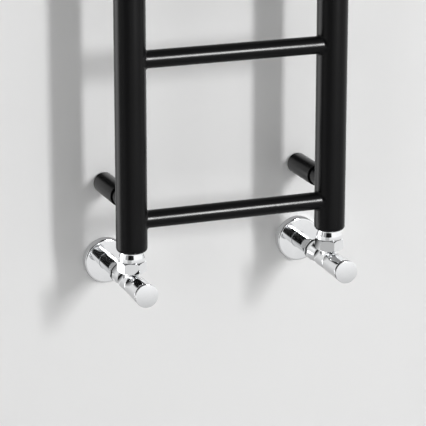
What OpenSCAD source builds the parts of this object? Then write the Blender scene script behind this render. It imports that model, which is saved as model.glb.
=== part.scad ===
// Ladder towel radiator with four wall brackets and a pair of corner valves.
// X runs to the right along the wall and Z runs up. The wall is the plane y = 0, and the
// radiator stands in front of it at negative y. The origin is on the wall, at the centre of
// the four bracket screws. Lengths are in millimetres.

/* [Radiator] */
// Distance between the centre lines of the two columns
column_pitch = 238; // [200:2:500]
// Outside diameter of a column
column_d = 35; // [33:0.5:38]
// Distance from the wall to the centre line of a column
wall_distance = 96; // [92:1:110]
// Distance from one cross tube to the next
rung_pitch = 180; // [150:5:260]
// Outside diameter of a cross tube
rung_d = 20; // [16:0.5:24]
// How far a cross tube stands in front of the columns' centre lines
rung_forward = 2.5; // [0:0.5:7]
// Length of a column beyond the centre line of the last cross tube
column_overhang = 36; // [32:1:60]

/* [Wall brackets] */
// Distance from the first cross tube to the bracket next to it
bracket_offset = 18; // [14:1:30]
// Outside diameter of a bracket sleeve
sleeve_d = 24.5; // [23:0.5:28]
// Length of a bracket sleeve
sleeve_length = 60; // [55:1:64]

/* [Valves] */
// Distance from the end of a column down to the centre line of its valve
valve_drop = 37; // [36:0.5:45]
// Distance from the wall to the front of a valve's cap
valve_reach = 146; // [144:1:152]
// Outside diameter of the front cap
cap_d = 26.4; // [25:0.2:28]
// Outside diameter of the wall rosette
rosette_d = 52; // [44:1:60]
// Outside diameter of the water pipe that comes out of the wall
pipe_d = 15; // [15:0.1:15.2]
// Travel of the valve disc from shut to fully open
disc_lift = 3.75; // [2:0.25:3.75]

/* [Hidden] */
$fn = 64;
sides = ["left", "right"];
levels = ["lower", "upper"];
rung_count = 5;

// Radiator
black = "#1c1c1e";
weld_gap = 0.05;           // seam left round a weld, so that two solids never overlap
column_r = column_d / 2;
column_wall = 1.5;
rung_r = rung_d / 2;
rung_wall = 1.2;
port_r = 4;                // water port from a column into a cross tube
cap_height = 14;           // height of a column's welded end cap
end_round = 5;             // rounding round the end of a column
boss_r = 10.4;             // bore of the 1/2 inch thread in an end cap
rung_top = rung_pitch * (rung_count - 1) / 2;
column_end = rung_top + column_overhang;
bracket_z = rung_top - bracket_offset;
rung_y = -wall_distance - rung_forward;

// Wall brackets
sleeve_r = sleeve_d / 2;
sleeve_bore_r = 10.1;
base_r = 10.05;
base_length = 20;
screw_hole_r = 2.75;
pin_r = 8;
pin_bore_r = 8.05;
pin_shoulder_r = 10.5;
pin_tail = 32;             // distance from the wall to the free end of the pin
sleeve_front = 5;          // thickness of the sleeve's front wall
grub_r = 1.5;              // M3 set screws

// Valves: t is the distance from the wall along a valve's centre line
chrome = "#d9dbdd";
brass = "#c9a45a";
rubber = "#18181a";
valve_z = -column_end - valve_drop;
pipe_r = pipe_d / 2;
socket_r = pipe_r + 0.1;
cover_r = 9.4;             // pipe sleeve, outside
cover_bore_r = pipe_r + 0.25;
nut_t = 50;                // rear of the compression nut
body_t = 78;               // rear of the valve body
body_end_t = 104;
body_r = 11.4;
seat_t = 91;               // face that the disc shuts against
disc_thickness = 3.8;
chamber_r = 8;
chamber_end_t = seat_t + disc_thickness + disc_lift + 1.45;
neck_r = 8.6;
handle_t = body_end_t + 0.8;   // the rest position is shut, where the handle is nearest the body
handle_rear_r = 11.9;
cap_r = cap_d / 2;
front_cap_t = valve_reach - 4.5;
gland_r = 6.5;
gland_end_t = 117;
spindle_r = 3;
spindle_end_t = 129;
union_r = 13;              // outside of the 3/4 inch union thread
union_h = 14;              // bottom of the union nut, above the valve's centre line
nut_height = 12;
nut_flats = 28.4;          // distance across the flats of the union nut
nut_turn = [40, 27];       // where tightening left the left and the right union nut, in degrees
collar_r = 14.7;
water_bore_r = 5;          // water way through the tailpiece
running = 0.05;            // radial clearance of a turning or sliding fit

// Top fittings
plug_r = 10.35;
plug_head_r = 13;
plug_depth = 10;           // thread below the end of the column

function side_x(s) = (s == "left" ? -1 : 1) * column_pitch / 2;
function level_z(l) = (l == "lower" ? -1 : 1) * bracket_z;
// Points of an arc about [x, y] from angle a to angle b, in degrees
function arc(x, y, r, a, b, n = 6) = [for (i = [0:n]) let (w = a + (b - a) * i / n)
    [x + r * cos(w), y + r * sin(w)]];

// Places children drawn along +Z so that they run from the wall towards the room
module from_wall(x, z) {
    translate([x, 0, z]) rotate([90, 0, 0]) children();
}

module ring(inner, outer, from, to) {
    translate([0, 0, from]) difference() {
        cylinder(r = outer, h = to - from);
        translate([0, 0, -1]) cylinder(r = inner, h = to - from + 2);
    }
}

module at_column(s) {
    translate([side_x(s), -wall_distance, 0]) children();
}

// The outside of a column with rounded ends
module column_shape(h) {
    flat_r = column_r - end_round;
    rotate_extrude() polygon(concat([[0, -h]], arc(flat_r, -h + end_round, end_round, -90, 0),
        arc(flat_r, h - end_round, end_round, 0, 90), [[0, h]]));
}

// Steel tube that carries the water up one side, with a port for every cross tube
module column(s) {
    inward = s == "left" ? 1 : -1;
    tube_h = column_end - cap_height;
    color(black) at_column(s) difference() {
        cylinder(r = column_r, h = 2 * tube_h, center = true);
        cylinder(r = column_r - column_wall, h = 2 * tube_h + 2, center = true);
        for (i = [1:rung_count]) translate([0, -rung_forward, -rung_top + (i - 1) * rung_pitch])
            rotate([0, inward * 90, 0]) cylinder(r = port_r, h = column_r + 5);
    }
}

// Cross tube, its ends coped to fit round the columns
module rung(i) {
    length = column_pitch;
    color(black) translate([0, rung_y, -rung_top + (i - 1) * rung_pitch]) difference() {
        rotate([0, 90, 0]) cylinder(r = rung_r, h = length, center = true);
        rotate([0, 90, 0]) cylinder(r = rung_r - rung_wall, h = length + 2, center = true);
        for (side = [-1, 1]) translate([side * length / 2, rung_forward, 0])
            cylinder(r = column_r + weld_gap, h = 3 * rung_d, center = true);
    }
}

// Welded end of a column, threaded for a fitting
module end_cap(s, l) {
    flip = l == "lower" ? 1 : -1;
    color(black) at_column(s) difference() {
        intersection() {
            column_shape(column_end);
            translate([0, 0, -flip * (column_end - cap_height / 2 + weld_gap / 2)])
                cylinder(r = column_d, h = cap_height - weld_gap, center = true);
        }
        translate([0, 0, -flip * (column_end - cap_height / 2)])
            cylinder(r = boss_r, h = cap_height + 2, center = true);
    }
}

// Boss that is screwed to the wall, with a counterbore for the screw's head
module wall_base(s, l) {
    color(black) from_wall(side_x(s), level_z(l)) difference() {
        cylinder(r = base_r, h = base_length);
        translate([0, 0, -1]) cylinder(r = screw_hole_r, h = base_length + 2);
        translate([0, 0, 4]) cylinder(r = 5.5, h = base_length);
    }
}

// Tube that slides over the boss and hides it, with a bored front wall that holds the pin
module bracket_sleeve(s, l) {
    color(black) from_wall(side_x(s), level_z(l)) difference() {
        rotate_extrude() polygon([[pin_bore_r, sleeve_length], [sleeve_r - 1, sleeve_length],
            [sleeve_r, sleeve_length - 1], [sleeve_r, 0.5], [sleeve_bore_r, 0.5],
            [sleeve_bore_r, sleeve_length - sleeve_front],
            [pin_bore_r, sleeve_length - sleeve_front]]);
        grub_places() cylinder(r = grub_r + running, h = 20);
    }
}

// The two set screws of a bracket, in its underside
module grub_places() {
    for (t = [base_length / 2, sleeve_length - sleeve_front / 2])
        translate([0, 0, t]) rotate([90, 0, 0]) children();
}

// Pin welded to the back of a column, with a shoulder in front of the sleeve
module bracket_pin(s, l) {
    pin_end = wall_distance;
    shoulder_t = sleeve_length + 2;
    color(black) difference() {
        from_wall(side_x(s), level_z(l)) {
            translate([0, 0, pin_tail]) cylinder(r = pin_r, h = pin_end - pin_tail);
            translate([0, 0, shoulder_t]) cylinder(r = pin_shoulder_r, h = pin_end - shoulder_t);
        }
        at_column(s) cylinder(r = column_r + weld_gap, h = 3 * column_end, center = true);
    }
}

module grub_screws() {
    color("#2a2a2c") for (s = sides, l = levels) from_wall(side_x(s), level_z(l)) {
        translate([0, 0, base_length / 2]) rotate([90, 0, 0]) grub_screw(base_r, sleeve_r);
        translate([0, 0, sleeve_length - sleeve_front / 2]) rotate([90, 0, 0])
            grub_screw(pin_r, sleeve_r);
    }
}

// Set screw from its tip's radius to the sleeve's surface, with a hexagon socket
module grub_screw(tip, top) {
    start = tip + 0.1;
    height = top - 0.2 - start;
    translate([0, 0, start]) difference() {
        cylinder(r = grub_r - 0.1, h = height);
        translate([0, 0, height - 1]) cylinder(r = 0.85, h = 2, $fn = 6);
    }
}

// Cover plate that hides the hole in the wall round the pipe
module rosette(s) {
    outer = rosette_d / 2;
    color(chrome) from_wall(side_x(s), valve_z) rotate_extrude() polygon(concat(
        [[outer, 0], [outer, 4.5]], arc(outer - 4.5, 4.5, 4.5, 0, 75),
        [[14, 9.7], [cover_r + 0.2, 10], [cover_r + 0.2, 8.5], [14, 8.2]],
        arc(outer - 4.5, 4.5, 3, 75, 0), [[outer - 1.5, 0]]));
}

// Chrome tube over the bare pipe, between the rosette and the nut
module pipe_sleeve(s) {
    color(chrome) from_wall(side_x(s), valve_z) ring(cover_bore_r, cover_r, 1, nut_t - 0.3);
}

// Round nut that squeezes the olive onto the pipe, with two flats for a spanner
module compression_nut(s) {
    color(chrome) from_wall(side_x(s), valve_z) difference() {
        rotate_extrude() polygon(concat([[socket_r + 0.1, nut_t]],
            arc(10.3, nut_t + 1.5, 1.5, -90, 0, 3),
            [[11.8, nut_t + 8], [10.2, body_t - 3], [10.2, body_t - 0.5], [9.2, body_t - 0.5],
            [9.2, nut_t + 13], [socket_r + 0.1, nut_t + 11]]));
        for (side = [-1, 1]) translate([side * 21.2, 0, nut_t + 6])
            cube([20, 40, 9], center = true);
    }
}

// Soft brass ring that seals the pipe into the body
module olive(s) {
    color(brass) from_wall(side_x(s), valve_z) rotate_extrude() polygon([
        [socket_r, nut_t + 12.5], [8.6, nut_t + 14.2], [8.9, nut_t + 15.7], [8.6, nut_t + 17.2],
        [socket_r, nut_t + 18.9]]);
}

// Corner body: pipe socket at the back, seat and chamber inside, union neck on top
module valve_body(s) {
    thread_end_t = nut_t + 20;
    color(chrome) from_wall(side_x(s), valve_z) difference() {
        union() {
            rotate_extrude() polygon(concat([[0, thread_end_t], [9.1, thread_end_t],
                [9.1, body_t], [body_r - 1.2, body_t]],
                arc(body_r - 1.2, body_t + 1.2, 1.2, -90, 0, 3),
                arc(body_r - 1.2, body_end_t - 1.2, 1.2, 0, 90, 3), [[0, body_end_t]]));
            translate([0, 0, wall_distance]) rotate([-90, 0, 0]) rotate_extrude() polygon([[0, 0],
                [neck_r, 0], [neck_r, union_h - 0.6], [union_r - 0.05, union_h + 1.4],
                [union_r - 0.05, union_h + 6.5], [0, union_h + 6.5]]);
        }
        translate([0, 0, thread_end_t - 1]) cylinder(r = socket_r, h = 16);
        translate([0, 0, body_t]) cylinder(r = 4.6, h = 20);
        translate([0, 0, seat_t]) cylinder(r = chamber_r, h = chamber_end_t - seat_t);
        translate([0, 0, chamber_end_t - 1]) cylinder(r = 9.05, h = 10);
        translate([0, 0, wall_distance]) rotate([-90, 0, 0]) cylinder(r = 4.5, h = 40);
    }
}

// Hexagon nut that pulls the tailpiece down onto the body
module union_nut(s) {
    inner_h = nut_height - 3;
    across_corners = nut_flats / cos(30);
    turn = s == "left" ? nut_turn[0] : nut_turn[1];
    color(chrome) translate([side_x(s), -wall_distance, valve_z + union_h]) difference() {
        intersection() {
            rotate([0, 0, turn]) cylinder(d = across_corners, h = nut_height, $fn = 6);
            rotate_extrude() polygon([[0, 0], [nut_flats / 2 + 0.4, 0],
                [across_corners / 2 + 0.1, 1.4], [across_corners / 2 + 0.1, nut_height - 1.4],
                [nut_flats / 2 + 0.4, nut_height], [0, nut_height]]);
        }
        translate([0, 0, -1]) cylinder(r = union_r, h = inner_h + 1);
        translate([0, 0, inner_h - 1]) cylinder(r = 10.3, h = 10);
    }
}

// Nipple with a flange under the nut and a collar that seals against the end of the column
module tailpiece(s) {
    flange_h = union_h + 7.2;
    collar_h = union_h + nut_height + 0.3;
    thread_h = valve_drop + 8;
    color(chrome) translate([side_x(s), -wall_distance, valve_z]) rotate_extrude() polygon(concat(
        [[water_bore_r, flange_h], [12.6, flange_h], [12.6, union_h + nut_height - 3.1],
        [10, union_h + nut_height - 3.1], [10, collar_h], [13.6, collar_h]],
        arc(13.7, collar_h + 1, 1, -90, 0, 3),
        [[collar_r, collar_h + 5], [13.2, valve_drop - 1], [13.2, valve_drop - 0.1],
        [plug_r, valve_drop - 0.1], [plug_r, thread_h - 1], [plug_r - 1, thread_h],
        [water_bore_r, thread_h]]));
}

// Flat fibre washer of the union
module union_washer(s) {
    color(rubber) translate([side_x(s), -wall_distance, valve_z])
        ring(water_bore_r, 12.4, union_h + 6.6, union_h + 7.1);
}

// Brass insert that carries the spindle, screwed into the front of the body
module bonnet(s) {
    color(brass) from_wall(side_x(s), valve_z) difference() {
        union() {
            translate([0, 0, chamber_end_t - 0.8]) cylinder(r = 9, h = 5);
            translate([0, 0, body_end_t + 0.1]) cylinder(r = 9.8, h = 5, $fn = 6);
            translate([0, 0, body_end_t + 5]) cylinder(r = gland_r, h = gland_end_t - body_end_t - 5);
        }
        cylinder(r = spindle_r + running, h = 200);
        translate([0, 0, gland_end_t - 5]) cylinder(r = 4.5, h = 2.2);
    }
}

// Rubber ring that seals the spindle in the bonnet
module spindle_seal(s) {
    section_r = (4.45 - spindle_r - running) / 2;
    color(rubber) from_wall(side_x(s), valve_z) translate([0, 0, gland_end_t - 3.9])
        rotate_extrude() translate([spindle_r + running + section_r, 0]) circle(r = section_r);
}

// Disc that shuts the seat: it slides and doesn't turn
module valve_disc(s) {
    color("#3a3530") from_wall(side_x(s), valve_z) difference() {
        translate([0, 0, seat_t + 0.3]) cylinder(r = 6.6, h = disc_thickness);
        translate([0, 0, seat_t + 2]) cylinder(r = 2.05, h = 4);
    }
}

// Screwed rod that moves the disc, with a square head for the handle or the key
module spindle(s) {
    color(brass) from_wall(side_x(s), valve_z) difference() {
        union() {
            translate([0, 0, seat_t + 2.3]) cylinder(r = 2, h = 5);
            translate([0, 0, seat_t + 4.4]) cylinder(r = spindle_r, h = spindle_end_t - seat_t - 12);
            translate([-2.1, -2.1, spindle_end_t - 8]) cube([4.2, 4.2, 8]);
        }
        translate([0, 0, spindle_end_t - 7]) cylinder(r = 1.3, h = 10);
    }
}

// The shell that both the handle and the lockshield cap share
module grip_shell(bore_r) {
    difference() {
        rotate_extrude() polygon(concat([[0, handle_t]],
            arc(handle_rear_r - 0.8, handle_t + 0.8, 0.8, -90, 0, 3),
            [[cap_r - 0.3, front_cap_t - 2.5], [cap_r - 0.3, front_cap_t - 0.9],
            [cap_r - 1, front_cap_t - 0.2], [0, front_cap_t - 0.2]]));
        translate([0, 0, handle_t - 1]) cylinder(r = 10.4, h = gland_end_t - handle_t - 6);
        translate([0, 0, handle_t]) cylinder(r = bore_r, h = spindle_end_t - handle_t - 6);
        translate([0, 0, front_cap_t - 6]) cylinder(r = 7.05, h = 10);
    }
}

// Handle with a square hole for the spindle
module handle() {
    color(chrome) from_wall(side_x("right"), valve_z) difference() {
        grip_shell(gland_r + 0.5);
        translate([-2.15, -2.15, handle_t]) cube([4.3, 4.3, spindle_end_t + 0.3 - handle_t]);
        translate([0, 0, handle_t]) cylinder(r = 2, h = 60);
    }
}

// Lockshield cap: it slides on the gland and covers the key's square
module lockshield_cap() {
    color(chrome) from_wall(side_x("left"), valve_z) difference() {
        grip_shell(gland_r + running);
        translate([0, 0, handle_t]) cylinder(r = 4, h = 60);
    }
}

module handle_screw() {
    color("#8e9094") from_wall(side_x("right"), valve_z) difference() {
        union() {
            translate([0, 0, spindle_end_t - 6]) cylinder(r = 1.25, h = 14);
            translate([0, 0, front_cap_t - 5.9]) cylinder(r = 3.6, h = 2.6);
        }
        translate([0, 0, front_cap_t - 4.6]) cylinder(r = 1.5, h = 2, $fn = 6);
    }
}

// Domed disc pressed into the front of a handle
module front_cap(s) {
    dome = 0.8;
    dome_r = (pow(cap_r - 0.8, 2) + pow(dome, 2)) / (2 * dome);
    half = asin((cap_r - 0.8) / dome_r);
    color(chrome) from_wall(side_x(s), valve_z) rotate_extrude() polygon(concat(
        [[0, front_cap_t - 3], [7, front_cap_t - 3], [7, front_cap_t],
        [cap_r - 0.6, front_cap_t], [cap_r, front_cap_t + 0.6],
        [cap_r, valve_reach - dome - 0.8]],
        arc(0, valve_reach - dome_r, dome_r, 90 - half, 90, 8)));
}

module plug_place(s) {
    translate([side_x(s), -wall_distance, column_end]) children();
}

// Chromed plug with the vent's seat and a side outlet for air and water
module air_vent_body() {
    color(chrome) plug_place("left") difference() {
        union() {
            translate([0, 0, -plug_depth]) cylinder(r = plug_r, h = plug_depth + 2);
            translate([0, 0, 0.9]) rotate_extrude() polygon([[0, 0], [plug_head_r, 0],
                [plug_head_r, 3.6], [plug_head_r - 1, 4.6], [0, 4.6]]);
            translate([0, 0, 5]) cylinder(r = 6, h = 5);
        }
        translate([0, 0, -plug_depth - 1]) cylinder(r = 1, h = 30);
        translate([0, 0, 1]) cylinder(r = 2.55, h = 12);
        translate([0, 0, 4]) rotate([0, 90, 0]) cylinder(r = 0.8, h = 20);
    }
}

// Needle screw of the vent, with a square for the bleed key
module air_vent_screw() {
    color(brass) plug_place("left") {
        translate([0, 0, 1.3]) cylinder(r = 2.5, h = 10.2);
        translate([-1.6, -1.6, 11.4]) cube([3.2, 3.2, 3.6]);
    }
}

module air_vent_washer() {
    color(rubber) plug_place("left") ring(plug_r + 0.05, 12.6, 0.1, 0.8);
}

// Solid plug in the end that isn't vented, with a hexagon socket
module blanking_plug() {
    color(chrome) plug_place("right") difference() {
        union() {
            translate([0, 0, -plug_depth]) cylinder(r = plug_r, h = plug_depth + 2);
            translate([0, 0, 0.9]) rotate_extrude() polygon([[0, 0], [plug_head_r, 0],
                [plug_head_r, 3.6], [plug_head_r - 1, 4.6], [0, 4.6]]);
        }
        translate([0, 0, -2]) cylinder(r = 5.8, h = 12, $fn = 6);
    }
}

module blanking_washer() {
    color(rubber) plug_place("right") ring(plug_r + 0.05, 12.6, 0.1, 0.8);
}

for (s = sides) {
    column(s);
    rosette(s);
    pipe_sleeve(s);
    compression_nut(s);
    olive(s);
    valve_body(s);
    union_nut(s);
    tailpiece(s);
    union_washer(s);
    bonnet(s);
    spindle_seal(s);
    valve_disc(s);
    spindle(s);
    front_cap(s);
}
for (s = sides, l = levels) {
    end_cap(s, l);
    wall_base(s, l);
    bracket_sleeve(s, l);
    bracket_pin(s, l);
}
for (i = [1:rung_count])
    rung(i);
grub_screws();  // bracket_grub_screws
lockshield_cap();  // left_lockshield_cap
handle();  // right_handle
handle_screw();  // right_handle_screw
air_vent_body();
air_vent_screw();
air_vent_washer();
blanking_plug();
blanking_washer();
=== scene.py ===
import math

import bmesh
import bpy
from mathutils import Matrix, Vector


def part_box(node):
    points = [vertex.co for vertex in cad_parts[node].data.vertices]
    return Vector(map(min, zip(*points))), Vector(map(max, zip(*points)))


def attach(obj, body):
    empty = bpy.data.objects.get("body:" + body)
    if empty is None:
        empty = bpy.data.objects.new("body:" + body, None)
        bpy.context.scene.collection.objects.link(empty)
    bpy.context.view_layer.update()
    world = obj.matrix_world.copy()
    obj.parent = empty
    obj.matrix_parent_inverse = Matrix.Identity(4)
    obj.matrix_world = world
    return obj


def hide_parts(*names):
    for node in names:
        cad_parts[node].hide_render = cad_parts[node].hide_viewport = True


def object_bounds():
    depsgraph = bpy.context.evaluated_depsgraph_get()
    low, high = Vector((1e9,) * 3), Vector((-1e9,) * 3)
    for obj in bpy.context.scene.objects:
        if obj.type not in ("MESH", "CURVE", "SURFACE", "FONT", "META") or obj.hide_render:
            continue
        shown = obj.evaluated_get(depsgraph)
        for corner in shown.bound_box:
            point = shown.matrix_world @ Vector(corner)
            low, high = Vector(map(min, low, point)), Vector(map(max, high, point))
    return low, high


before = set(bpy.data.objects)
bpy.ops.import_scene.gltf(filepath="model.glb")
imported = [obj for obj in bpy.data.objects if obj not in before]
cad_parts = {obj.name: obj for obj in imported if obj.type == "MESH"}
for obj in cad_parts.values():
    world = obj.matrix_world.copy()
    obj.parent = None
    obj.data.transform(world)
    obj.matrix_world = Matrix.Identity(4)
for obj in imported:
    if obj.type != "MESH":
        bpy.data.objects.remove(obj)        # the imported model: its bodies, nodes, joints and record
cad_low, cad_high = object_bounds()
MM = 0.001

# ---------------------------------------------------------------- studio
# A plain painted wall that the radiator hangs on, a pale floor below it and soft studio lights.
# Both planes are seen from their front only, so that the back of the radiator can be looked at.


def colour(code):
    """Turns an sRGB hex colour into linear red, green, blue and alpha."""
    parts = [int(code[i:i + 2], 16) / 255 for i in (1, 3, 5)]
    return [c / 12.92 if c <= 0.04045 else ((c + 0.055) / 1.055) ** 2.4 for c in parts] + [1]


def set_inputs(tree, node, inputs):
    """Fills a node's inputs, each with a value or with a link from another node's output."""
    for socket, value in inputs.items():
        if isinstance(value, bpy.types.NodeSocket):
            tree.links.new(value, node.inputs[socket])
        else:
            node.inputs[socket].default_value = value


def add_node(tree, kind, inputs=None, **settings):
    """Adds a node, with its settings and its inputs."""
    node = tree.nodes.new(kind)
    for field, value in settings.items():
        setattr(node, field, value)
    set_inputs(tree, node, inputs or {})
    return node


def new_material(name):
    """A material with its node tree and its main shader."""
    material = bpy.data.materials.new(name)
    material.use_nodes = True
    return material, material.node_tree, material.node_tree.nodes["Principled BSDF"]


def stage_piece(name, bm, material):
    """Turns a bmesh into a piece of the studio, which isn't part of the object."""
    mesh = bpy.data.meshes.new(name)
    bm.to_mesh(mesh)
    bm.free()
    mesh.materials.append(material)
    piece = bpy.data.objects.new(name, mesh)
    bpy.context.scene.collection.objects.link(piece)
    return piece


def backdrop(name, size, place, paint, grain_mm):
    """A plane with fine roller texture in its paint, clear when seen from behind."""
    material, tree, shader = new_material(name + "_paint")
    position = add_node(tree, "ShaderNodeTexCoord").outputs["Object"]
    grain = add_node(tree, "ShaderNodeTexNoise", {"Vector": position, "Scale": 1 / (grain_mm * MM)})
    bump = add_node(tree, "ShaderNodeBump", {
        "Height": grain.outputs["Fac"], "Strength": 0.25, "Distance": 0.1 * MM})
    set_inputs(tree, shader, {
        "Base Color": colour(paint), "Roughness": 0.75, "Normal": bump.outputs["Normal"]})
    behind = add_node(tree, "ShaderNodeNewGeometry").outputs["Backfacing"]
    clear = add_node(tree, "ShaderNodeBsdfTransparent")
    seen = add_node(tree, "ShaderNodeMixShader", {
        0: behind, 1: shader.outputs[0], 2: clear.outputs[0]})
    tree.links.new(seen.outputs[0], tree.nodes["Material Output"].inputs["Surface"])
    bm = bmesh.new()
    bmesh.ops.create_grid(bm, x_segments=1, y_segments=1, size=size / 2, matrix=place)
    plane = stage_piece(name, bm, material)
    plane.visible_glossy = False     # metal reflects the room that is drawn below instead


wall_gap = 0.6 * MM          # keeps the wall clear of the faces that stand on it
floor_z = cad_low.z - 0.39
studio = 30                  # width of the wall and the floor, in metres
backdrop("wall", studio, Matrix.Translation((0, wall_gap, floor_z + studio / 2))
         @ Matrix.Rotation(math.radians(90), 4, "X"), "#e5e5e5", 1.5)
backdrop("floor", studio, Matrix.Translation((0, wall_gap - studio / 2, floor_z)), "#dededd", 3)


def softbox(name, place, target, width, height, watts):
    """A rectangular studio light."""
    data = bpy.data.lights.new(name, "AREA")
    data.shape = "RECTANGLE"
    data.size, data.size_y, data.energy = width, height, watts
    light = bpy.data.objects.new(name, data)
    light.location = place
    light.rotation_euler = (Vector(target) - Vector(place)).to_track_quat("-Z", "Y").to_euler()
    bpy.context.scene.collection.objects.link(light)
    return light


valves = Vector((0, -0.1, -0.4))
softbox("key_light", (1.59, -3.95, 0.9), valves, 0.32, 1.3, 84)
fill = softbox("fill_light", (-2.3, -2.1, 0.35), valves, 0.5, 1.2, 6)
fill.visible_glossy = False
glint = softbox("glint_light", (0.92, -2.5, 0.39), valves, 0.4, 0.8, 110)
glint.visible_diffuse = False    # it only draws a bright line along the cross tubes

# The room gives even light to the wall. Polished metal shows it as a pale room, greyer towards
# its floor and ceiling, with a few soft patches of its own brightness.
even = 0.44                  # brightness of the even light
edge = 3                     # half the width of a patch's soft edge, in degrees
world = bpy.data.worlds.new("room")
bpy.context.scene.world = world
world.use_nodes = True
room = world.node_tree
direction = add_node(room, "ShaderNodeTexCoord").outputs["Generated"]
height = add_node(room, "ShaderNodeSeparateXYZ", {0: direction}).outputs["Z"]
low_part = add_node(room, "ShaderNodeMapRange", {
    "Value": height, "From Min": -0.6, "From Max": -0.05, "To Min": 0.57, "To Max": 1.12})
high_part = add_node(room, "ShaderNodeMapRange", {
    "Value": height, "From Min": 0.35, "From Max": 0.6, "To Min": 1, "To Max": 0.35})
shown = add_node(room, "ShaderNodeMath", {
    0: low_part.outputs["Result"], 1: high_part.outputs["Result"]}, operation="MULTIPLY")
patches = (                      # direction, radius in degrees, brightness
    ((-0.45, -0.85, 0.28), 26, 0.02),        # the dark behind the camera
    ((-0.12, 0.9, 0.42), 14, 0.02),          # a dark gap high over the wall
    ((-0.75, -0.6, 0.3), 28, 0.35),          # the grey corner on the left
    ((-0.62, -0.72, -0.3), 17, 0.6),         # the floor below it
    ((-0.1, 0.95, -0.25), 42, 0.72),         # the lower part of the wall
    ((-0.78, 0.57, -0.25), 18, 5))           # the bright window
for toward, spread, level in patches:
    facing = add_node(room, "ShaderNodeVectorMath", {
        0: direction, 1: Vector(toward).normalized()}, operation="DOT_PRODUCT")
    patch = add_node(room, "ShaderNodeMapRange", {
        "Value": facing.outputs["Value"], "From Min": math.cos(math.radians(spread + edge)),
        "From Max": math.cos(math.radians(spread - edge)), "To Min": 1, "To Max": level})
    shown = add_node(room, "ShaderNodeMath", {
        0: shown.outputs[0], 1: patch.outputs["Result"]}, operation="MULTIPLY")
glossy = add_node(room, "ShaderNodeLightPath").outputs["Is Glossy Ray"]
brightness = add_node(room, "ShaderNodeMix", {0: glossy, "A": even, "B": shown.outputs[0]})
set_inputs(room, room.nodes["Background"], {
    "Color": colour("#ffffff"), "Strength": brightness.outputs["Result"]})
bpy.context.scene.view_settings.view_transform = "Standard"

# Close behind each valve, polished metal would see the shadow between itself and the wall: grey near
# the rosette, nearly black further out, and fading away. A glowing disc that only metal sees paints
# this reflection of shade.
sides = ("left", "right")
card_r = 48
card_x, card_z = -8, 7       # its middle, from the rosette's
card_gap = 0.3               # keeps it between the wall and the faces that stand on the wall


def middle(node):
    """The middle of a CAD node's box."""
    low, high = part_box(node)
    return (low + high) / 2


for s in sides:
    x, _, z = middle(f"{s}_rosette")
    centre = Vector((x + card_x * MM, card_gap * MM, z + card_z * MM))
    material, tree, shader = new_material(f"{s}_painted_shade_reflection")
    position = add_node(tree, "ShaderNodeTexCoord").outputs["Object"]
    away = add_node(tree, "ShaderNodeVectorMath", {0: position, 1: centre}, operation="DISTANCE")
    part = add_node(tree, "ShaderNodeMath", {0: away.outputs["Value"], 1: card_r * MM},
                    operation="DIVIDE")
    # Its glow is a painted reflection: grey shade near the rosette, a nearly black ring of shadow,
    # then the lit wall.
    shades = add_node(tree, "ShaderNodeValToRGB", {"Fac": part.outputs[0]})
    stops = shades.color_ramp.elements
    stops[0].position, stops[0].color = 0.6, colour("#a4a4a4")
    stops[1].position, stops[1].color = 1, colour("#f4f4f4")
    for place in (0.66, 0.78):
        stops.new(place).color = colour("#0c0c0c")
    set_inputs(tree, shader, {
        "Base Color": colour("#000000"), "Specular IOR Level": 0,
        "Emission Color": shades.outputs["Color"], "Emission Strength": 1})
    bm = bmesh.new()
    bmesh.ops.create_circle(bm, cap_ends=True, segments=64, radius=card_r * MM,
                            matrix=Matrix.Rotation(math.radians(90), 4, "X"))
    bm.transform(Matrix.Translation(centre))
    card = stage_piece(f"{s}_card", bm, material)
    card.visible_camera = card.visible_diffuse = card.visible_shadow = False

aim = middle("rung_1") + Vector((-23, 2.5, -2)) * MM     # the middle of the view
azimuth, elevation, distance = math.radians(-21.06), math.radians(16.43), 2.612
toward_camera = Vector((math.sin(azimuth) * math.cos(elevation),
                        -math.cos(azimuth) * math.cos(elevation), math.sin(elevation)))
camera = bpy.data.objects.new("camera", bpy.data.cameras.new("camera"))
camera.location = aim + toward_camera * distance
camera.rotation_euler = (-toward_camera).to_track_quat("-Z", "Y").to_euler()
camera.data.sensor_width, camera.data.lens = 36, 198.1
bpy.context.scene.collection.objects.link(camera)
bpy.context.scene.camera = camera

# ---------------------------------------------------------------- columns
# Two upright mild steel tubes, 35 mm across with a 1.5 mm wall, that carry the water up each
# side. They are cut from seamed tube, dressed, and powder coated with the whole radiator.


def lathe(outline, steps=96, joined=True):
    """Spins an outline of (radius, height) points in mm about Z. It closes on itself if joined."""
    bm = bmesh.new()
    points = [bm.verts.new((r * MM, 0, h * MM)) for r, h in outline]
    ends = points[1:] + points[:1] if joined else points[1:]
    edges = [bm.edges.new(pair) for pair in zip(points, ends)]
    bmesh.ops.spin(bm, geom=points + edges, axis=(0, 0, 1), cent=(0, 0, 0),
                   angle=2 * math.pi, steps=steps, use_merge=True)
    bmesh.ops.remove_doubles(bm, verts=bm.verts, dist=0.001 * MM)
    return bm


def make_piece(name, bm, place, material, body, slot, *nodes, soften=0):
    """Turns a bmesh into a finished piece in place of CAD nodes. soften rounds its edges, in mm."""
    bm.transform(place)
    bmesh.ops.recalc_face_normals(bm, faces=bm.faces)
    for face in bm.faces:
        face.smooth = True
    for edge in bm.edges:
        edge.smooth = soften > 0 or edge.calc_face_angle(0) < math.radians(35)
    mesh = bpy.data.meshes.new(name)
    bm.to_mesh(mesh)
    bm.free()
    mesh.materials.append(material)
    piece = bpy.data.objects.new(name, mesh)
    bpy.context.scene.collection.objects.link(piece)
    if soften:
        bevel = piece.modifiers.new("edges", "BEVEL")
        bevel.width, bevel.segments = soften * MM, 2
        bevel.limit_method, bevel.angle_limit = "ANGLE", math.radians(28)
        bevel.harden_normals = True
    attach(piece, body)
    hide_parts(*nodes)
    return piece


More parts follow.
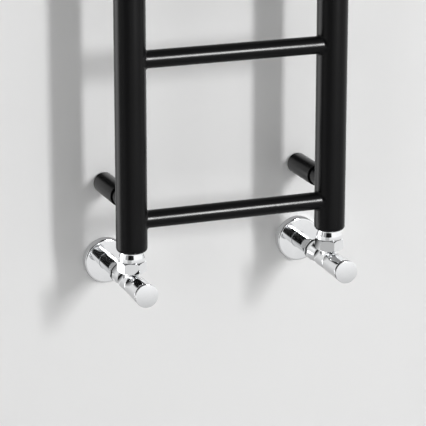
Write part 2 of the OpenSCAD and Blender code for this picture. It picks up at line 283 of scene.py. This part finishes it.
# Satin polyester powder coat: the melted powder leaves a soft orange peel, so its highlights
# have slightly uneven edges, and the black is never quite even.
powder_coat, tree, shader = new_material("satin_black_powder_coat")
position = add_node(tree, "ShaderNodeTexCoord").outputs["Object"]
peel = add_node(tree, "ShaderNodeTexNoise", {
    "Vector": position, "Scale": 1 / (2.2 * MM), "Detail": 1})
dust = add_node(tree, "ShaderNodeTexNoise", {
    "Vector": position, "Scale": 1 / (0.5 * MM), "Detail": 2})
cloud = add_node(tree, "ShaderNodeTexNoise", {
    "Vector": position, "Scale": 1 / (60 * MM), "Detail": 3})
soft_bump = add_node(tree, "ShaderNodeBump", {
    "Height": peel.outputs["Fac"], "Strength": 0.5, "Distance": 0.03 * MM})
fine_bump = add_node(tree, "ShaderNodeBump", {
    "Height": dust.outputs["Fac"], "Strength": 0.3, "Distance": 0.01 * MM,
    "Normal": soft_bump.outputs["Normal"]})
tone = add_node(tree, "ShaderNodeMix", {
    0: cloud.outputs["Fac"], "A": colour("#0a0a0b"), "B": colour("#0f0f10")}, data_type="RGBA")
gloss = add_node(tree, "ShaderNodeMapRange", {
    "Value": cloud.outputs["Fac"], "To Min": 0.22, "To Max": 0.28})
set_inputs(tree, shader, {
    "Base Color": tone.outputs["Result"], "Roughness": gloss.outputs["Result"],
    "IOR": 1.5, "Specular IOR Level": 0.12, "Normal": fine_bump.outputs["Normal"]})

column_r = 17.5
column_wall = 1.5
column_places = {s: middle(f"{s}_column") for s in sides}
for s in sides:
    low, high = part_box(f"{s}_column")
    half = (high.z - low.z) / 2 / MM
    tube = lathe([(column_r - column_wall, -half), (column_r, -half), (column_r, half),
                  (column_r - column_wall, half)], steps=128)
    make_piece(f"{s}_upright_tube", tube, Matrix.Translation(column_places[s]), powder_coat,
               "radiator", "black_powder_coat", f"{s}_column")

# ---------------------------------------------------------------- cross tubes
# Five 20 mm steel tubes, their ends coped to the columns and welded all round. The weld is a
# small hollow bead with faint ripples, which the powder coat softens.
weld_ripple = 0.14          # height of the ripples, in mm
ripples = 40                # ripples round one weld
sunk = 0.3                  # how far a welded end reaches into the other piece
cope_lead = 6               # from a column's face to where a tube's plain part ends


def arc(r, h, radius, start, end, steps=6):
    """Points of an arc about (r, h), from one angle to another in degrees."""
    turns = [math.radians(start + (end - start) * i / steps) for i in range(steps + 1)]
    return [(r + radius * math.cos(w), h + radius * math.sin(w)) for w in turns]


def weld_bead(r, reach, size):
    """The outline of a bead of that size between a tube of radius r and a wall at reach."""
    return arc(r + size, reach - size, size, 180, 90) + [(r + size, reach + sunk)]


def cope(bm, r, size, reach, round_r, offset=0, ripple=0):
    """Bends the end of a lathed tube onto a round member that crosses it at reach."""
    for vert in bm.verts:
        if vert.co.z < (reach - size - 0.01) * MM:
            continue
        x, y = vert.co.x / MM, vert.co.y / MM
        spread = math.hypot(x, y)
        if spread > r:
            swell = ripple * math.sin(ripples * math.atan2(y, x)) * (spread - r) / size
            vert.co.x, vert.co.y = x * (1 + swell / spread) * MM, y * (1 + swell / spread) * MM
        across = vert.co.x / MM - offset
        vert.co.z -= math.sqrt(round_r ** 2 - across ** 2) * MM


along_wall = Matrix(((0, 0, 1, 0), (1, 0, 0, 0), (0, 1, 0, 0), (0, 0, 0, 1)))
rung_r = 10
rung_wall = 1.2
rung_bore_r = rung_r - rung_wall
rung_bead = 2.2
rung_count = 5
reach = (column_places["right"].x - column_places["left"].x) / 2 / MM
straight = reach - column_r - cope_lead
for i in range(1, rung_count + 1):
    centre = middle(f"rung_{i}")
    offset = (column_places["left"].y - centre.y) / MM
    tube = lathe([(rung_r, 0), (rung_r, straight)] + weld_bead(rung_r, reach, rung_bead)
                 + [(rung_bore_r, reach + sunk), (rung_bore_r, straight), (rung_bore_r, 0)],
                 steps=120, joined=False)
    cope(tube, rung_r, rung_bead, reach, column_r, offset, weld_ripple)
    bmesh.ops.mirror(tube, geom=tube.verts[:] + tube.edges[:] + tube.faces[:],
                     matrix=Matrix.Identity(4), merge_dist=0.001 * MM, axis="Z")
    make_piece(f"cross_tube_{i}", tube, Matrix.Translation(centre) @ along_wall, powder_coat,
               "radiator", "black_powder_coat", f"rung_{i}")

# ---------------------------------------------------------------- column ends
# A pressed steel end is welded into each end of a column and ground flush. Its corner is
# rounded, and its bore is tapped 1/2 inch for a valve, a vent or a plug.
levels = ("lower", "upper")
end_r = 5                   # rounding of the corner
end_depth = 14
tapped_r = 10.4
chamfer = 0.6
for s in sides:
    for level in levels:
        low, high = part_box(f"{s}_{level}_end_cap")
        tip = low.z if level == "lower" else high.z
        cap = lathe([(tapped_r + chamfer, 0)]
                    + arc(column_r - end_r, end_r, end_r, -90, 0, 10)
                    + [(column_r, end_depth), (tapped_r, end_depth), (tapped_r, chamfer)],
                    steps=128)
        turned = Matrix.Rotation(0 if level == "lower" else math.pi, 4, "X")
        x, y, _ = column_places[s]
        make_piece(f"{s}_{level}_tube_end", cap, Matrix.Translation((x, y, tip)) @ turned,
                   powder_coat, "radiator", "black_powder_coat", f"{s}_{level}_end_cap")

# ---------------------------------------------------------------- wall brackets
# A turned boss is screwed to the wall, and a sleeve slides over it and hides the screw. The
# sleeve's front wall grips a pin that is welded to the back of the column. Two set screws lock
# each bracket from below.


def from_wall(x, z):
    """Stands a shape drawn along Z on the wall at x and z, pointing into the room."""
    return Matrix.Translation((x, 0, z)) @ Matrix.Rotation(math.radians(90), 4, "X")


def carve(bm, tool, operation="DIFFERENCE"):
    """Cuts a bmesh with another one, or joins or intersects them, into a new bmesh."""
    parts = []
    for shape in (bm, tool):
        bmesh.ops.recalc_face_normals(shape, faces=shape.faces)
        mesh = bpy.data.meshes.new("carving")
        shape.to_mesh(mesh)
        shape.free()
        parts.append(bpy.data.objects.new("carving", mesh))
        bpy.context.scene.collection.objects.link(parts[-1])
    cut = parts[0].modifiers.new("cut", "BOOLEAN")
    cut.operation, cut.solver, cut.object = operation, "EXACT", parts[1]
    bpy.context.view_layer.update()
    made = bmesh.new()
    made.from_object(parts[0], bpy.context.evaluated_depsgraph_get())
    for part in parts:
        bpy.data.meshes.remove(part.data)
    return made


def prism(corners, r, low, high, turn=0):
    """An upright prism with that many corners at radius r, the first one at the angle turn."""
    bm = bmesh.new()
    bmesh.ops.create_cone(bm, cap_ends=True, segments=corners, radius1=r * MM, radius2=r * MM,
                          depth=(high - low) * MM)
    bm.verts.ensure_lookup_table()
    first = bm.verts[0].co
    turn = math.radians(turn) - math.atan2(first.y, first.x)
    bm.transform(Matrix.Translation((0, 0, (low + high) / 2 * MM)) @ Matrix.Rotation(turn, 4, "Z"))
    return bm


def dress(node, material):
    """Gives a CAD node that keeps its own shape a finished material."""
    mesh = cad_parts[node].data
    mesh.materials.clear()
    mesh.materials.append(material)


# Black oxide on hardened steel: a thin dark conversion layer, slightly oily, over the bare
# metal's grain.
black_oxide, tree, shader = new_material("black_oxide_steel")
position = add_node(tree, "ShaderNodeTexCoord").outputs["Object"]
grain = add_node(tree, "ShaderNodeTexNoise", {"Vector": position, "Scale": 1 / (0.6 * MM)})
tone = add_node(tree, "ShaderNodeMix", {
    0: grain.outputs["Fac"], "A": colour("#1d1d20"), "B": colour("#303034")}, data_type="RGBA")
set_inputs(tree, shader, {
    "Base Color": tone.outputs["Result"], "Metallic": 0.9, "Roughness": 0.42})

boss_r = 10.05
boss_t = 20                 # t is the distance from the wall
screw_hole_r = 2.75
screw_well_r = 5.5          # room for the screw's head
screw_floor_t = 4
sleeve_r = 12.25
sleeve_start_t = 0.5
sleeve_t = 60
sleeve_round = 0.9
sleeve_wall_t = 55          # where its front wall begins
play = 0.05                 # between the sleeve and what it slides over
grub_r = 1.55
grub_places = (10, 57.5)
pin_r = 8
pin_t = 32
shoulder_r = 10.5
shoulder_t = 62
pin_bead = 1.8
for s in sides:
    for level in levels:
        height = middle(f"{s}_{level}_bracket_sleeve").z
        place = from_wall(column_places[s].x, height)
        name = f"{s}_{level}"
        boss = lathe([(screw_hole_r, 0), (boss_r - 0.5, 0), (boss_r, 0.5), (boss_r, boss_t - 0.8),
                      (boss_r - 0.8, boss_t), (screw_well_r + chamfer, boss_t),
                      (screw_well_r, boss_t - chamfer), (screw_well_r, screw_floor_t),
                      (screw_hole_r, screw_floor_t)], steps=64)
        make_piece(f"{name}_screwed_boss", boss, place, powder_coat, "radiator",
                   "black_powder_coat", f"{name}_wall_base")
        sleeve = lathe([(pin_r + play, sleeve_t)]
                       + arc(sleeve_r - sleeve_round, sleeve_t - sleeve_round, sleeve_round,
                             90, 0, 5)
                       + [(sleeve_r, sleeve_start_t + 0.4), (sleeve_r - 0.4, sleeve_start_t),
                          (boss_r + play, sleeve_start_t), (boss_r + play, sleeve_wall_t),
                          (pin_r + play, sleeve_wall_t)])
        for t in grub_places:
            hole = prism(24, grub_r, 0, 20)
            hole.transform(Matrix.Translation((0, 0, t * MM)) @ Matrix.Rotation(
                math.radians(90), 4, "X"))
            sleeve = carve(sleeve, hole)
        make_piece(f"{name}_standoff_sleeve", sleeve, place, powder_coat, "radiator",
                   "black_powder_coat", f"{name}_bracket_sleeve")
        reach = -column_places[s].y / MM
        pin = lathe([(0, pin_t), (pin_r - chamfer, pin_t), (pin_r, pin_t + chamfer),
                     (pin_r, shoulder_t), (shoulder_r - chamfer, shoulder_t),
                     (shoulder_r, shoulder_t + chamfer), (shoulder_r, reach - column_r - cope_lead)]
                    + weld_bead(shoulder_r, reach, pin_bead) + [(0, reach + sunk)], joined=False)
        cope(pin, shoulder_r, pin_bead, reach, column_r, ripple=weld_ripple)
        make_piece(f"{name}_standoff_pin", pin, place, powder_coat, "radiator",
                   "black_powder_coat", f"{name}_bracket_pin")
dress("bracket_grub_screws", black_oxide)

# ---------------------------------------------------------------- rosettes and pipe sleeves
# A pressed brass cover plate hides the hole round each pipe, and a thin tube hides the bare
# copper. Both are polished and chromium plated, like the valves.

# Bright chromium plate over polished brass: a cool, clear mirror. Handling and the polishing
# wheel leave it a very slight haze and waviness.
chrome, tree, shader = new_material("polished_chromium_plate")
position = add_node(tree, "ShaderNodeTexCoord").outputs["Object"]
haze = add_node(tree, "ShaderNodeTexNoise", {
    "Vector": position, "Scale": 1 / (12 * MM), "Detail": 4})
wave = add_node(tree, "ShaderNodeTexNoise", {"Vector": position, "Scale": 1 / (7 * MM)})
bump = add_node(tree, "ShaderNodeBump", {
    "Height": wave.outputs["Fac"], "Strength": 0.4, "Distance": 0.02 * MM})
gloss = add_node(tree, "ShaderNodeMapRange", {
    "Value": haze.outputs["Fac"], "To Min": 0.03, "To Max": 0.08})
tint = add_node(tree, "ShaderNodeMix", {
    0: haze.outputs["Fac"], "A": colour("#e8e9ea"), "B": colour("#f0f1f2")}, data_type="RGBA")
set_inputs(tree, shader, {
    "Base Color": tint.outputs["Result"], "Metallic": 1, "Roughness": gloss.outputs["Result"],
    "Normal": bump.outputs["Normal"]})

valve_z = middle("left_rosette").z
valve_places = {s: from_wall(column_places[s].x, valve_z) for s in sides}
rosette_r = 26
rosette_round = 2
rosette_side = 7            # height of the plate's straight side
sheet = 1.5                 # thickness of the pressed plate
rim = rosette_r - rosette_round
face_t = rosette_side + rosette_round
pipe_hole_r = 7.75
cover_r = 9.4
cover_t = 1
cover_end_t = 49.7
for s in sides:
    plate = lathe([(rosette_r - sheet, 0), (rosette_r, 0)]
                  + arc(rim, rosette_side, rosette_round, 0, 90, 10)
                  + [(cover_r + 0.6, face_t), (cover_r + 0.2, face_t - 0.3),
                     (cover_r + 0.2, face_t - sheet)]
                  + arc(rim, rosette_side, rosette_round - sheet, 90, 0, 10), steps=144)
    make_piece(f"{s}_cover_plate", plate, valve_places[s], chrome, "radiator", "chrome",
               f"{s}_rosette")
    cover = lathe([(pipe_hole_r, cover_t), (cover_r - 0.2, cover_t), (cover_r, cover_t + 0.2),
                   (cover_r, cover_end_t - 0.3), (cover_r - 0.3, cover_end_t),
                   (pipe_hole_r, cover_end_t)], steps=128)
    make_piece(f"{s}_pipe_cover", cover, valve_places[s], chrome, "radiator", "chrome",
               f"{s}_pipe_sleeve")

# ---------------------------------------------------------------- compression nuts
# A round chromed nut behind each valve squeezes a brass olive onto the pipe. It has two flats
# for a spanner and tapers to a waist at the body.


def turned_brass(name, axis):
    """Brass fresh from the lathe, with rings of tool marks round the given axis."""
    mark_mm = 0.4           # real marks are finer, and would not show
    material, tree, shader = new_material(name)
    position = add_node(tree, "ShaderNodeTexCoord").outputs["Object"]
    marks = add_node(tree, "ShaderNodeTexWave", {
        "Vector": position, "Scale": math.pi / 10 / (mark_mm * MM), "Distortion": 0.6},
        bands_direction=axis)
    stain = add_node(tree, "ShaderNodeTexNoise", {"Vector": position, "Scale": 1 / (5 * MM)})
    bump = add_node(tree, "ShaderNodeBump", {
        "Height": marks.outputs["Fac"], "Strength": 0.4, "Distance": 0.01 * MM})
    tone = add_node(tree, "ShaderNodeMix", {
        0: stain.outputs["Fac"], "A": colour("#c9a863"), "B": colour("#ddc083")},
        data_type="RGBA")
    gloss = add_node(tree, "ShaderNodeMapRange", {
        "Value": stain.outputs["Fac"], "To Min": 0.2, "To Max": 0.34})
    set_inputs(tree, shader, {
        "Base Color": tone.outputs["Result"], "Metallic": 1,
        "Roughness": gloss.outputs["Result"], "Normal": bump.outputs["Normal"]})
    return material


brass = turned_brass("turned_brass", "Y")
nut_t = 50
nut_r = 11.8
nut_round = 1.5
nut_hole_r = 7.7
nut_thread_r = 9.2
waist_r = 10.2
body_t = 78
flat_x = 11.2
cutter = 10                 # half the width of the block that cuts a flat
for s in sides:
    nut = lathe([(nut_hole_r, nut_t)]
                + arc(nut_r - nut_round, nut_t + nut_round, nut_round, -90, 0)
                + [(nut_r, nut_t + 7), (nut_r - 0.08, nut_t + 9), (waist_r + 0.05, body_t - 3.6),
                   (waist_r, body_t - 2.6), (waist_r, body_t - 0.8), (waist_r - 0.3, body_t - 0.5),
                   (nut_thread_r, body_t - 0.5), (nut_thread_r, nut_t + 13),
                   (nut_hole_r, nut_t + 11)], steps=128)
    for side in (-1, 1):
        block = prism(4, cutter * math.sqrt(2), nut_t + 1.5, nut_t + 10.5, 45)
        block.transform(Matrix.Translation((side * (flat_x + cutter) * MM, 0, 0)))
        nut = carve(nut, block)
    make_piece(f"{s}_round_nut", nut, valve_places[s], chrome, "radiator", "chrome",
               f"{s}_compression_nut")
    dress(f"{s}_olive", brass)

# ---------------------------------------------------------------- valve bodies
# Hot-pressed brass, turned, polished and chromed: a straight barrel from the pipe to the
# handle, and a short neck on top with the thread of the union.
body_r = 11.4
body_end_t = 104
body_round = 1.2
body_edge_r = body_r - body_round
pipe_socket_r = 7.6
pipe_stop_t = 85
stub_r = 9.1                # the stub carries the thread of the compression nut
stub_t = 70
front_bore_r = 9.05
front_bore_t = 100
neck_r = 8.6
neck_bead = 1.2
neck_top = 20.5             # height of the neck's end above the barrel's centre line
thread_r = 12.95
thread_length = 5.1
union_h = 14                # height of the bottom of the union nut
upside_down = Matrix(((-1, 0, 0, 0), (0, 1, 0, 0), (0, 0, -1, 0), (0, 0, 0, 1)))
for s in sides:
    barrel = lathe([(0, pipe_stop_t), (pipe_socket_r, pipe_stop_t), (pipe_socket_r, stub_t),
                    (stub_r, stub_t), (stub_r, body_t)]
                   + arc(body_edge_r, body_t + body_round, body_round, -90, 0)
                   + arc(body_edge_r, body_end_t - body_round, body_round, 0, 90)
                   + [(front_bore_r, body_end_t), (front_bore_r, front_bore_t),
                      (0, front_bore_t)], steps=128, joined=False)
    barrel.transform(valve_places[s])
    neck = lathe([(0, 0), (thread_r - 0.65, 0), (thread_r, chamfer), (thread_r, thread_length),
                  (neck_r, neck_top - union_h + 0.4)] + weld_bead(neck_r, neck_top, neck_bead)
                 + [(0, neck_top + sunk)], steps=128, joined=False)
    cope(neck, neck_r, neck_bead, neck_top, body_r)
    x, y, _ = column_places[s]
    neck.transform(Matrix.Translation((x, y, valve_z + neck_top * MM)) @ upside_down)
    shell = bpy.data.meshes.new("neck")
    neck.to_mesh(shell)
    neck.free()
    barrel.from_mesh(shell)
    make_piece(f"{s}_barrel", barrel, Matrix.Identity(4), chrome, "radiator", "chrome",
               f"{s}_valve_body")

# ---------------------------------------------------------------- unions
# A chromed hexagon nut pulls a tailpiece down onto the neck, with a washer between them. The
# tailpiece screws into the column, and its collar closes the joint.

# Moulded black rubber: dull, with the faint grain of its mould.
rubber, tree, shader = new_material("moulded_black_rubber")
position = add_node(tree, "ShaderNodeTexCoord").outputs["Object"]
grain = add_node(tree, "ShaderNodeTexNoise", {"Vector": position, "Scale": 1 / (0.8 * MM)})
tone = add_node(tree, "ShaderNodeMix", {
    0: grain.outputs["Fac"], "A": colour("#141414"), "B": colour("#1f1f1e")}, data_type="RGBA")
bump = add_node(tree, "ShaderNodeBump", {
    "Height": grain.outputs["Fac"], "Strength": 0.5, "Distance": 0.03 * MM})
set_inputs(tree, shader, {
    "Base Color": tone.outputs["Result"], "Roughness": 0.75, "Normal": bump.outputs["Normal"]})

nut_flats = 28.4
nut_height = 12
nut_bevel_h = 1.4
nut_lip = 3                 # thickness of the nut's top, round the tailpiece
nut_turn = {"left": 40, "right": 27}     # each stops where it is tight, in degrees
nut_corner_r = nut_flats / 2 / math.cos(math.radians(30))
nut_top = union_h + nut_height
tail_r = 10
tail_bore_r = 5
flange_r = 12.6             # the flange that the nut pulls down
flange_low, flange_high = 21.2, 22.9
collar_r = 14.7
collar_end_r = 13.2
collar_low, collar_high = 26.3, 36.9
shank_r = 10.35
shank_high = 45
for s in sides:
    x, y, _ = column_places[s]
    place = Matrix.Translation((x, y, valve_z))
    nut = prism(6, nut_corner_r, union_h, nut_top, nut_turn[s])
    cone = lathe([(0, union_h), (nut_flats / 2 + 0.3, union_h),
                  (nut_corner_r + 0.2, union_h + nut_bevel_h),
                  (nut_corner_r + 0.2, nut_top - nut_bevel_h), (nut_flats / 2 + 0.3, nut_top),
                  (0, nut_top)], joined=False)
    bore = lathe([(0, union_h - 1), (thread_r + 0.05, union_h - 1),
                  (thread_r + 0.05, nut_top - nut_lip), (tail_r + 0.3, nut_top - nut_lip),
                  (tail_r + 0.3, nut_top + 1), (0, nut_top + 1)], joined=False)
    nut = carve(carve(nut, cone, "INTERSECT"), bore)
    make_piece(f"{s}_hexagon_nut", nut, place, chrome, "radiator", "chrome", f"{s}_union_nut",
               soften=0.35)
    tail = lathe([(tail_bore_r, flange_low), (flange_r, flange_low), (flange_r, flange_high),
                  (tail_r, flange_high), (tail_r, collar_low)]
                 + arc(collar_r - 1, collar_low + 1, 1, -90, 0)
                 + [(collar_r, collar_low + 4.7), (collar_r - 0.08, collar_low + 5.3),
                    (collar_end_r + 0.05, collar_high - 1.1), (collar_end_r, collar_high - 0.7),
                    (collar_end_r, collar_high), (shank_r, collar_high), (shank_r, shank_high - 1),
                    (shank_r - 1, shank_high), (tail_bore_r, shank_high)], steps=128)
    make_piece(f"{s}_collar", tail, place, chrome, "radiator", "chrome", f"{s}_tailpiece")
    dress(f"{s}_union_washer", rubber)

# ---------------------------------------------------------------- bonnets, discs and spindles
# A brass insert with a hexagon and a smooth gland is screwed into the front of each body. The
# spindle runs through it and its seal, and pushes a rubber-faced disc onto the seat.
insert_r = 9
insert_t = 99.2
hexagon_r = 9.8
hexagon_end_t = 109.1
gland_r = 6.5
gland_end_t = 117
groove_t = 110.8            # a shallow groove round the gland
spindle_r = 3
spindle_bore_r = spindle_r + 0.05
spindle_t = 95.4
spindle_end_t = 121.4
nose_r = 2                  # the nose holds the disc
nose_t = 93.3
square_r = 2.1 * math.sqrt(2)
square_end_t = 129
tapping_r = 1.3             # the tapped hole in the square
for s in sides:
    bonnet = lathe([(spindle_bore_r, insert_t), (insert_r, insert_t),
                    (insert_r, body_end_t + 0.6), (gland_r, body_end_t + 0.6),
                    (gland_r, groove_t - 0.6), (gland_r - 0.3, groove_t - 0.3),
                    (gland_r - 0.3, groove_t + 0.3), (gland_r, groove_t + 0.6),
                    (gland_r, gland_end_t - 0.8), (gland_r - 0.7, gland_end_t),
                    (spindle_bore_r, gland_end_t)])
    cone = lathe([(0, body_end_t - 4), (hexagon_r - 1, body_end_t - 4),
                  (hexagon_r + 0.1, body_end_t + 1), (hexagon_r + 0.1, hexagon_end_t - 0.9),
                  (hexagon_r - 1, hexagon_end_t + 0.1), (0, hexagon_end_t + 0.1)], joined=False)
    hexagon = carve(prism(6, hexagon_r, body_end_t + 0.1, hexagon_end_t), cone, "INTERSECT")
    hexagon = carve(hexagon, prism(48, 4, body_end_t - 4, hexagon_end_t + 3))
    make_piece(f"{s}_gland", carve(bonnet, hexagon, "UNION"), valve_places[s], brass, "radiator",
               "brass", f"{s}_bonnet")
    dress(f"{s}_spindle_seal", rubber)
    dress(f"{s}_valve_disc", rubber)
    rod = lathe([(0, nose_t), (nose_r, nose_t), (nose_r, spindle_t), (spindle_r, spindle_t),
                 (spindle_r, spindle_end_t - chamfer), (spindle_r - 0.5, spindle_end_t),
                 (0, spindle_end_t)], steps=64, joined=False)
    square = carve(prism(4, square_r, spindle_end_t - 0.4, square_end_t, 45),
                   prism(24, tapping_r, spindle_end_t + 0.6, square_end_t + 2))
    rod = carve(rod, square, "UNION")
    make_piece(f"{s}_spindle_rod", rod, valve_places[s], brass,
               "right_handle" if s == "right" else "left_spindle", "brass", f"{s}_spindle")

# ---------------------------------------------------------------- handle and lockshield cap
# Both are the same plain chromed shell, slightly wider at the front. The handle is held on the
# spindle's square by a screw. The cap only clips over the gland, to keep hands off its valve.

# Clear zinc plate on steel: a light, bluish, slightly cloudy metal.
zinc, tree, shader = new_material("zinc_plated_steel")
position = add_node(tree, "ShaderNodeTexCoord").outputs["Object"]
cloud = add_node(tree, "ShaderNodeTexNoise", {"Vector": position, "Scale": 1 / (1.5 * MM)})
tone = add_node(tree, "ShaderNodeMix", {
    0: cloud.outputs["Fac"], "A": colour("#a9adb4"), "B": colour("#c6c8cc")}, data_type="RGBA")
set_inputs(tree, shader, {
    "Base Color": tone.outputs["Result"], "Metallic": 1, "Roughness": 0.34})

shell_t = 104.8
shell_r = 11.9
shell_round = 0.8
shell_front_t = 141.2
shell_front_r = 12.9
front_round = 0.5
stem_hole_r = 7.05          # takes the stem of the front cap
stem_hole_t = 135.5
web_t = 123                 # a thick web parts the stem's hole from the gland's
skirt_r = 10.4              # clears the gland's hexagon
skirt_t = 110
for s, body, bore_r, hole_r, node in (
        ("left", "left_cap", gland_r + 0.05, 4, "left_lockshield_cap"),
        ("right", "right_handle", gland_r + 0.5, spindle_bore_r, "right_handle")):
    grip = lathe(arc(shell_r - shell_round, shell_t + shell_round, shell_round, -90, 0)
                 + [(shell_front_r - 0.05, shell_front_t - 3.4),
                    (shell_front_r, shell_front_t - 2.2)]
                 + arc(shell_front_r - front_round, shell_front_t - front_round, front_round, 0, 90)
                 + [(stem_hole_r, shell_front_t), (stem_hole_r, stem_hole_t),
                    (hole_r, stem_hole_t), (hole_r, web_t), (bore_r, web_t),
                    (bore_r, skirt_t + chamfer), (bore_r + chamfer, skirt_t), (skirt_r, skirt_t),
                    (skirt_r, shell_t)], steps=128)
    make_piece(f"{s}_grip", grip, valve_places[s], chrome, body, "chrome", node)
dress("right_handle_screw", zinc)

# ---------------------------------------------------------------- front caps
# A shallow domed chrome disc is pressed into the front of each shell by a plug of black
# plastic, which shows as a fine dark line between the two.

# Moulded black ABS: even, slightly glossy, with the faint grain of its mould.
plastic, tree, shader = new_material("moulded_black_abs")
position = add_node(tree, "ShaderNodeTexCoord").outputs["Object"]
grain = add_node(tree, "ShaderNodeTexNoise", {"Vector": position, "Scale": 1 / (0.7 * MM)})
tone = add_node(tree, "ShaderNodeMix", {
    0: grain.outputs["Fac"], "A": colour("#080808"), "B": colour("#101010")}, data_type="RGBA")
bump = add_node(tree, "ShaderNodeBump", {
    "Height": grain.outputs["Fac"], "Strength": 0.4, "Distance": 0.02 * MM})
set_inputs(tree, shader, {
    "Base Color": tone.outputs["Result"], "Roughness": 0.6, "Specular IOR Level": 0.2,
    "Normal": bump.outputs["Normal"]})

front_r = 13.2
front_t = 146
plug_r = 12.8
plug_t = shell_front_t + 0.1
stem_r = 7
stem_t = 138.5
rim_t = 144.3               # back of the disc's rim
rim_round = 0.5             # rounding of the rim's front corner
back_round = 0.3
dome = 0.8
dome_rim_r = front_r - rim_round
dome_r = (dome_rim_r ** 2 + dome ** 2) / (2 * dome)
half_angle = math.degrees(math.asin(dome_rim_r / dome_r))
for s, body in (("left", "left_cap"), ("right", "right_handle")):
    disc = lathe([(0, stem_t), (stem_r - 0.5, stem_t), (stem_r, stem_t + 0.5), (stem_r, plug_t),
                  (plug_r, plug_t), (plug_r, rim_t)]
                 + arc(front_r - back_round, rim_t + back_round, back_round, -90, 0)
                 + arc(dome_rim_r, front_t - dome - rim_round, rim_round, 0, 72, 5)
                 + arc(0, front_t - dome_r, dome_r, 90 - half_angle, 90, 16),
                 steps=144, joined=False)
    for face in disc.faces:
        x, y, t = face.calc_center_median() / MM
        if t < rim_t - 0.01 and math.hypot(x, y) < plug_r + 0.01:
            face.material_index = 1
    piece = make_piece(f"{s}_domed_disc", disc, valve_places[s], chrome, body, "chrome",
                       f"{s}_front_cap")
    piece.data.materials.append(plastic)

# ---------------------------------------------------------------- air vent and blanking plug
# The top of the left column has a chromed plug with a bleed screw and a small outlet in its
# side. The right one has a plain plug with a hexagon socket. Each sits on a rubber washer.
column_tips = {s: Vector((column_places[s].x, column_places[s].y,
                          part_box(f"{s}_upper_end_cap")[1].z)) for s in sides}
head_r = 13
head_h = 5.5
head_round = 1
washer_h = 0.9              # the head stands on its washer
shank_depth = 10
plug = [(shank_r - 0.75, -shank_depth), (shank_r, 0.8 - shank_depth), (shank_r, washer_h),
        (head_r - 0.4, washer_h), (head_r, washer_h + 0.4)]
plug += arc(head_r - head_round, head_h - head_round, head_round, 0, 90, 5)
needle_r = 2.5
needle_low, needle_high = 1.3, 11.5
needle_hole_r = needle_r + 0.05
air_way_r = 1
vent_boss_r = 6
vent_h = 10
vent = lathe([(needle_hole_r, 1), (air_way_r, 1), (air_way_r, -shank_depth)] + plug
             + [(vent_boss_r + 1, head_h), (vent_boss_r + 0.3, head_h + 0.3),
                (vent_boss_r, head_h + 1), (vent_boss_r, vent_h - chamfer),
                (vent_boss_r - chamfer, vent_h), (needle_hole_r, vent_h)])
outlet_r = 0.8
outlet_h = 4
outlet = prism(24, outlet_r, 3, 20)
outlet.transform(Matrix.Translation((0, 0, outlet_h * MM))
                 @ Matrix.Rotation(math.radians(90), 4, "Y"))
make_piece("vent_plug", carve(vent, outlet), Matrix.Translation(column_tips["left"]), chrome,
           "radiator", "chrome", "air_vent_body")
upright_brass = turned_brass("turned_brass_upright", "Z")
needle = lathe([(0, needle_low), (needle_r - chamfer, needle_low), (needle_r, needle_low + chamfer),
                (needle_r, needle_high - 0.5), (needle_r - 0.5, needle_high), (0, needle_high)],
               steps=48, joined=False)
key_r = 1.6 * math.sqrt(2)  # corners of the square that a radiator key turns
needle = carve(needle, prism(4, key_r, needle_high - 0.3, 15, 45), "UNION")
make_piece("bleed_screw", needle, Matrix.Translation(column_tips["left"]), upright_brass,
           "vent_screw", "brass", "air_vent_screw")
socket_r = 5.8
solid_plug = lathe([(0, -shank_depth)] + plug + [(7.2, head_h), (0, head_h)], joined=False)
solid_plug = carve(solid_plug, prism(6, socket_r, -2, 8))
make_piece("socket_plug", solid_plug, Matrix.Translation(column_tips["right"]), chrome,
           "radiator", "chrome", "blanking_plug")
dress("air_vent_washer", rubber)
dress("blanking_washer", rubber)
